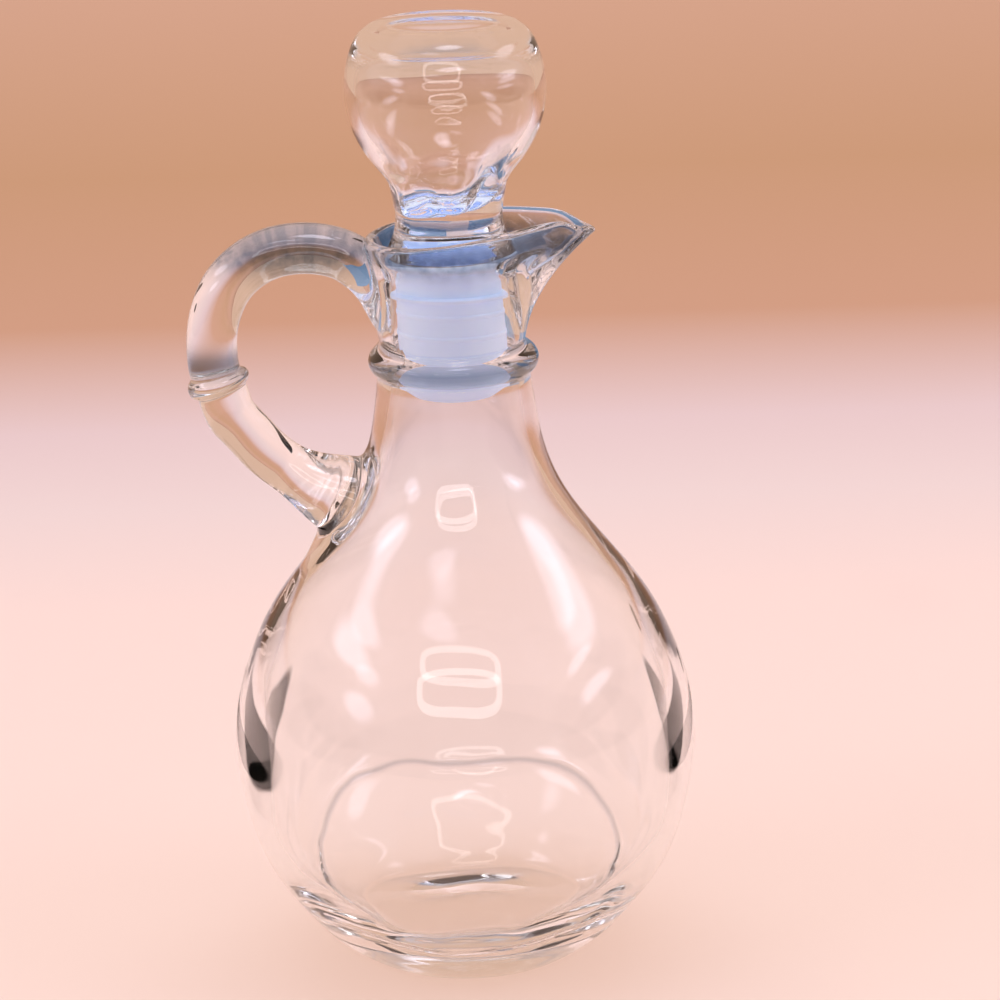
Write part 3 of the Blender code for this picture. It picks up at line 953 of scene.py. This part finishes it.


# setting: paper that warms with distance, with painted shade darkening its far part where the light
# falls off, and the room's light from low down to the top
setting = {
    "paper": (
        (0.00, (0.94, 0.75, 0.69)),
        (0.20, (0.93, 0.73, 0.69)),
        (0.29, (0.84, 0.69, 0.69)),
        (0.37, (0.78, 0.61, 0.63)),
        (0.50, (0.62, 0.35, 0.24)),
        (0.75, (0.61, 0.35, 0.21)),
        (1.25, (0.76, 0.46, 0.33)),
    ),
    "paperPlace": (0.0, 0.75, -0.0002),
    "paperSize": (2.2, 3.6, 1.0, 1.0),
    "paperRoughness": 0.75,
    "paperShine": 0.2,
    "horizon": (0.62, 0.50, 0.46),
    "low": (0.52, 0.44, 0.43),
    "top": (0.26, 0.24, 0.26),
    "lowAt": 0.35,
    "behind": (0.62, 0.40, 0.29, 1.0),
    "behindFrom": 0.10,
    "behindTo": 0.65,
    "viewerShade": 0.35,
    "viewerFrom": -0.85,
    "viewerTo": -0.15,
    "roomStrength": 1.15,
}


def fillRamp(ramp, stops):
    marks = ramp.color_ramp.elements
    for mark, (place, colour) in zip(marks, (stops[0], stops[-1])):
        mark.position = place
        mark.color = (*colour, 1.0)
    for place, colour in stops[1:-1]:
        marks.new(place).color = (*colour, 1.0)


def makeFloor():
    shape = bmesh.new()
    bmesh.ops.create_grid(shape, x_segments=8, y_segments=12, size=0.5)
    place = Matrix.Translation(setting["paperPlace"]) @ Matrix.Diagonal(setting["paperSize"])
    bmesh.ops.transform(shape, matrix=place, verts=shape.verts)
    item = toObject(shape, "floor")
    material, tree, shader = newMaterial("paper")
    setInputs(shader, Roughness=setting["paperRoughness"], Specular_IOR_Level=setting["paperShine"])
    place = tree.nodes.new("ShaderNodeTexCoord")
    split = tree.nodes.new("ShaderNodeSeparateXYZ")
    farthest = setting["paper"][-1][0]
    # the ramp paints the paper's warmer tone with distance and, far off, shade where the light falls off
    span = addNode(tree, "ShaderNodeMapRange", From_Max=farthest)
    ramp = tree.nodes.new("ShaderNodeValToRGB")
    fillRamp(ramp, [(distance / farthest, colour) for distance, colour in setting["paper"]])
    links = tree.links
    links.new(place.outputs["Object"], split.inputs[0])
    links.new(split.outputs["Y"], span.inputs["Value"])
    links.new(span.outputs[0], ramp.inputs["Fac"])
    links.new(ramp.outputs["Color"], shader.inputs["Base Color"])
    item.data.materials.append(material)
    return item


# the point inside the bottle that lamps and cards stand round and face
aim = Vector((axisX, 0.0, 0.07))


def direction(azimuth, elevation):
    # azimuth 0 is towards the viewer, positive to the right
    turn = math.radians(azimuth)
    rise = math.radians(elevation)
    level = math.cos(rise)
    return Vector((math.sin(turn) * level, -math.cos(turn) * level, math.sin(rise)))


def softLight(name, azimuth, elevation, distance, size, power, colour):
    lamp = bpy.data.lights.new(name, "AREA")
    lamp.shape = "RECTANGLE"
    lamp.size, lamp.size_y = size
    lamp.energy = power
    lamp.color = colour
    item = bpy.data.objects.new(name, lamp)
    away = direction(azimuth, elevation)
    item.location = aim + away * distance
    item.rotation_euler = away.to_track_quat("Z", "Y").to_euler()
    item.visible_glossy = False
    item.visible_transmission = False
    bpy.context.scene.collection.objects.link(item)
    return item


def glowMaterial(name, colour, strength):
    material, tree, shader = newMaterial(name)
    tree.nodes.remove(shader)
    glow = addNode(tree, "ShaderNodeEmission", Color=colour, Strength=strength)
    tree.links.new(glow.outputs[0], tree.nodes["Material Output"].inputs["Surface"])
    return material


def showOnlyInGlass(item):
    item.visible_camera = False
    item.visible_diffuse = False
    item.visible_shadow = False


def card(name, centre, facing, size, colour, strength=0.0):
    # a flat card that is seen only in the glass
    shape = bmesh.new()
    turned = Vector(facing).to_track_quat("Z", "Y").to_matrix().to_4x4()
    scale = Matrix.Diagonal((size[0], size[1], 1.0, 1.0))
    place = Matrix.Translation(centre) @ turned @ scale
    shape.loops.layers.uv.new("UVMap")
    bmesh.ops.create_grid(shape, x_segments=1, y_segments=1, size=0.5, matrix=place, calc_uvs=True)
    item = toObject(shape, name)
    item.data.materials.append(glowMaterial(name, colour, strength))
    showOnlyInGlass(item)
    return item


def fadeOut(item, solid):
    # lets a card fade from its solid middle towards its edges
    tree = item.data.materials[0].node_tree
    glow = next(node for node in tree.nodes if node.type == "EMISSION")
    place = tree.nodes.new("ShaderNodeUVMap")
    shift = tree.nodes.new("ShaderNodeVectorMath")
    shift.inputs[1].default_value = (0.5, 0.5, 0.0)
    shift.operation = "SUBTRACT"
    reach = tree.nodes.new("ShaderNodeVectorMath")
    reach.operation = "LENGTH"
    fade = addNode(tree, "ShaderNodeMapRange", From_Min=0.5, From_Max=solid)
    fade.interpolation_type = "SMOOTHSTEP"
    mix = tree.nodes.new("ShaderNodeMixShader")
    clear = tree.nodes.new("ShaderNodeBsdfTransparent")
    links = tree.links
    links.new(place.outputs["UV"], shift.inputs[0])
    links.new(shift.outputs["Vector"], reach.inputs[0])
    links.new(reach.outputs["Value"], fade.inputs["Value"])
    links.new(fade.outputs["Result"], mix.inputs[0])
    links.new(clear.outputs[0], mix.inputs[1])
    links.new(glow.outputs[0], mix.inputs[2])
    links.new(mix.outputs[0], tree.nodes["Material Output"].inputs["Surface"])
    return item


# how much of a soft glow's half width stays solid
softShare = 0.22


def softCard(name, azimuth, elevation, distance, size, colour, strength):
    # a glow in a given direction, seen only in the glass
    away = direction(azimuth, elevation)
    centre = aim + away * distance
    return fadeOut(card(name, centre, -away, size, colour, strength), softShare)


# loop: a lamp bent into a rounded loop, which shows as the bright outline on the belly
loop = {
    "azimuth": -3.0,
    "elevation": 31.0,
    "distance": 0.90,
    "size": (0.64, 0.25),
    "thickness": 0.05,
    "corners": 0.55,
    "steps": 64,
    "colour": (1.0, 0.98, 1.0, 1.0),
    "strength": 4.2,
}


def lightLoop(name):
    away = direction(loop["azimuth"], loop["elevation"])
    turned = away.to_track_quat("Z", "Y").to_matrix().to_4x4()
    place = Matrix.Translation(aim + away * loop["distance"]) @ turned
    shape = bmesh.new()
    count = loop["steps"]
    rows = []
    for step in range(count):
        turn = 2.0 * math.pi * step / count
        x = math.copysign(abs(math.cos(turn)) ** loop["corners"], math.cos(turn))
        y = math.copysign(abs(math.sin(turn)) ** loop["corners"], math.sin(turn))
        row = []
        for grow in (-0.5, 0.5):
            wide = 0.5 * loop["size"][0] + grow * loop["thickness"]
            high = 0.5 * loop["size"][1] + grow * loop["thickness"]
            row.append(shape.verts.new(place @ Vector((x * wide, y * high, 0.0))))
        rows.append(row)
    for index, row in enumerate(rows):
        after = rows[(index + 1) % count]
        shape.faces.new((row[0], after[0], after[1], row[1]))
    item = toObject(shape, name)
    item.data.materials.append(glowMaterial(name, loop["colour"], loop["strength"]))
    showOnlyInGlass(item)
    return item


def makeRoom():
    world = bpy.data.worlds.new("room")
    bpy.context.scene.world = world
    world.use_nodes = True
    tree = world.node_tree
    back = tree.nodes["Background"]
    back.inputs["Strength"].default_value = setting["roomStrength"]
    place = tree.nodes.new("ShaderNodeTexCoord")
    split = tree.nodes.new("ShaderNodeSeparateXYZ")
    ramp = tree.nodes.new("ShaderNodeValToRGB")
    low = (setting["lowAt"], setting["low"])
    fillRamp(ramp, ((0.0, setting["horizon"]), low, (1.0, setting["top"])))
    # the half of the room behind the viewer is darker
    front = addNode(tree, "ShaderNodeMapRange", To_Min=setting["viewerShade"])
    setInputs(front, From_Min=setting["viewerFrom"], From_Max=setting["viewerTo"])
    shade = tree.nodes.new("ShaderNodeVectorMath")
    shade.operation = "SCALE"
    # the paper's warm tone goes on above the far edge
    rear = addNode(tree, "ShaderNodeMapRange")
    setInputs(rear, From_Min=setting["behindFrom"], From_Max=setting["behindTo"])
    wall = tree.nodes.new("ShaderNodeMix")
    wall.data_type = "RGBA"
    wall.inputs["B"].default_value = setting["behind"]
    links = tree.links
    links.new(place.outputs["Generated"], split.inputs[0])
    links.new(split.outputs["Z"], ramp.inputs["Fac"])
    links.new(split.outputs["Y"], front.inputs["Value"])
    links.new(split.outputs["Y"], rear.inputs["Value"])
    links.new(rear.outputs["Result"], wall.inputs["Factor"])
    links.new(ramp.outputs["Color"], wall.inputs["A"])
    links.new(wall.outputs["Result"], shade.inputs[0])
    links.new(front.outputs["Result"], shade.inputs["Scale"])
    links.new(shade.outputs["Vector"], back.inputs["Color"])


# camera: the photograph's own viewpoint, a long lens looking down a little from the front
camera = {
    "place": (0.0030, -0.6198, 0.2801),
    "turn": -0.74,
    "tilt": 90.0 - 17.15,
    "roll": -1.61,
    "lens": 122.4,
    "sensor": 36.0,
    "nearest": 0.01,
    "farthest": 20.0,
}


def makeCamera():
    data = bpy.data.cameras.new("camera")
    data.lens = camera["lens"]
    data.sensor_width = camera["sensor"]
    data.clip_start = camera["nearest"]
    data.clip_end = camera["farthest"]
    item = bpy.data.objects.new("camera", data)
    turn = Matrix.Rotation(math.radians(camera["turn"]), 4, "Z")
    tilt = Matrix.Rotation(math.radians(camera["tilt"]), 4, "X")
    roll = Matrix.Rotation(math.radians(camera["roll"]), 4, "Z")
    item.matrix_world = Matrix.Translation(camera["place"]) @ turn @ tilt @ roll
    bpy.context.scene.collection.objects.link(item)
    bpy.context.scene.camera = item


daylight = (1.0, 0.98, 1.0)
pane = (0.86, 0.84, 1.0, 1.0)
dark = (0.0, 0.0, 0.0, 1.0)
blue = (0.22, 0.33, 0.50, 1.0)

# lamps: name, azimuth, elevation, distance, size, power, colour
lamps = (
    ("windowLeft", -75.0, 38.0, 1.10, (0.70, 0.55), 3.5, daylight),
    ("windowRight", 82.0, 36.0, 1.10, (0.65, 0.50), 3.4, daylight),
    ("ceiling", 180.0, 66.0, 2.20, (2.4, 2.0), 26.0, (0.97, 0.98, 1.0)),
)

# glows: name, azimuth, elevation, distance, size, colour, strength
glows = (
    ("paneLeft", -77.0, 33.0, 1.0, (0.72, 0.22), pane, 5.0),
    ("paneRight", 90.0, 34.0, 1.0, (0.72, 0.30), pane, 4.2),
    ("lowLeft", -58.0, 18.0, 1.0, (0.40, 0.16), pane, 4.5),
    ("lowRight", 76.0, 15.5, 1.0, (0.55, 0.14), pane, 4.5),
    ("overhead", 14.0, 70.0, 1.0, (0.50, 0.34), pane, 8.0),
    ("slit", -20.0, 53.0, 1.0, (0.45, 0.14), pane, 3.0),
)

# darkCards: name, middle, facing, size and, where it fades, the share that stays solid
darkCards = (
    ("person", (-0.62, -1.0, 0.06), (0.5, 1.0, 0.0), (0.55, 0.36), None),
    ("darkLeft", (-0.093, 0.068, 0.010), (1.0, -0.5, 0.0), (0.125, 0.021), 0.42),
    ("darkRight", (0.101, 0.068, 0.010), (-1.0, -0.5, 0.0), (0.125, 0.021), 0.42),
    ("spot", (0.117, 0.194, 0.003), (0.0, 0.0, 1.0), (0.022, 0.036), 0.40),
    ("sideLeft", (-0.9, -0.3, 0.15), (1.0, 0.0, 0.0), (1.3, 0.34), 0.36),
    ("sideRight", (0.9, -0.3, 0.15), (-1.0, 0.0, 0.0), (1.3, 0.34), 0.36),
)

# blueCards: name, middle, facing, size
blueCards = (
    ("blueSpout", (0.022, 0.034, 0.117), (0.0, -1.0, 1.2), (0.036, 0.020)),
    ("blueRoot", (-0.008, 0.030, 0.130), (0.0, -1.0, 0.0), (0.014, 0.010)),
)


def makeLights():
    for lamp in lamps:
        softLight(*lamp)
    for glow in glows:
        softCard(*glow)
    lightLoop("lampLoop")
    for name, middle, facing, size, solid in darkCards:
        made = card(name, middle, facing, size, dark)
        if solid is not None:
            fadeOut(made, solid)
    for name, middle, facing, size in blueCards:
        card(name, middle, facing, size, blue, 1.0)


# how often light may bounce or pass through before a ray ends
bounces = 20


def main():
    surface = surfaceGroup()
    makeBottle(glassMaterial("clearGlass", looks["bottle"], surface))
    makeStopper(glassMaterial("stopperGlass", looks["stopper"], surface))
    makeSleeve(plasticMaterial("milkyPlastic", looks["sleeve"]))
    makeFloor()
    makeRoom()
    makeLights()
    makeCamera()
    scene = bpy.context.scene
    scene.view_settings.view_transform = "Standard"
    scene.cycles.max_bounces = bounces
    scene.cycles.glossy_bounces = bounces
    scene.cycles.transmission_bounces = bounces
    scene.cycles.transparent_max_bounces = bounces
    scene.cycles.caustics_reflective = False
    scene.cycles.caustics_refractive = False
    print("scene ready")


main()
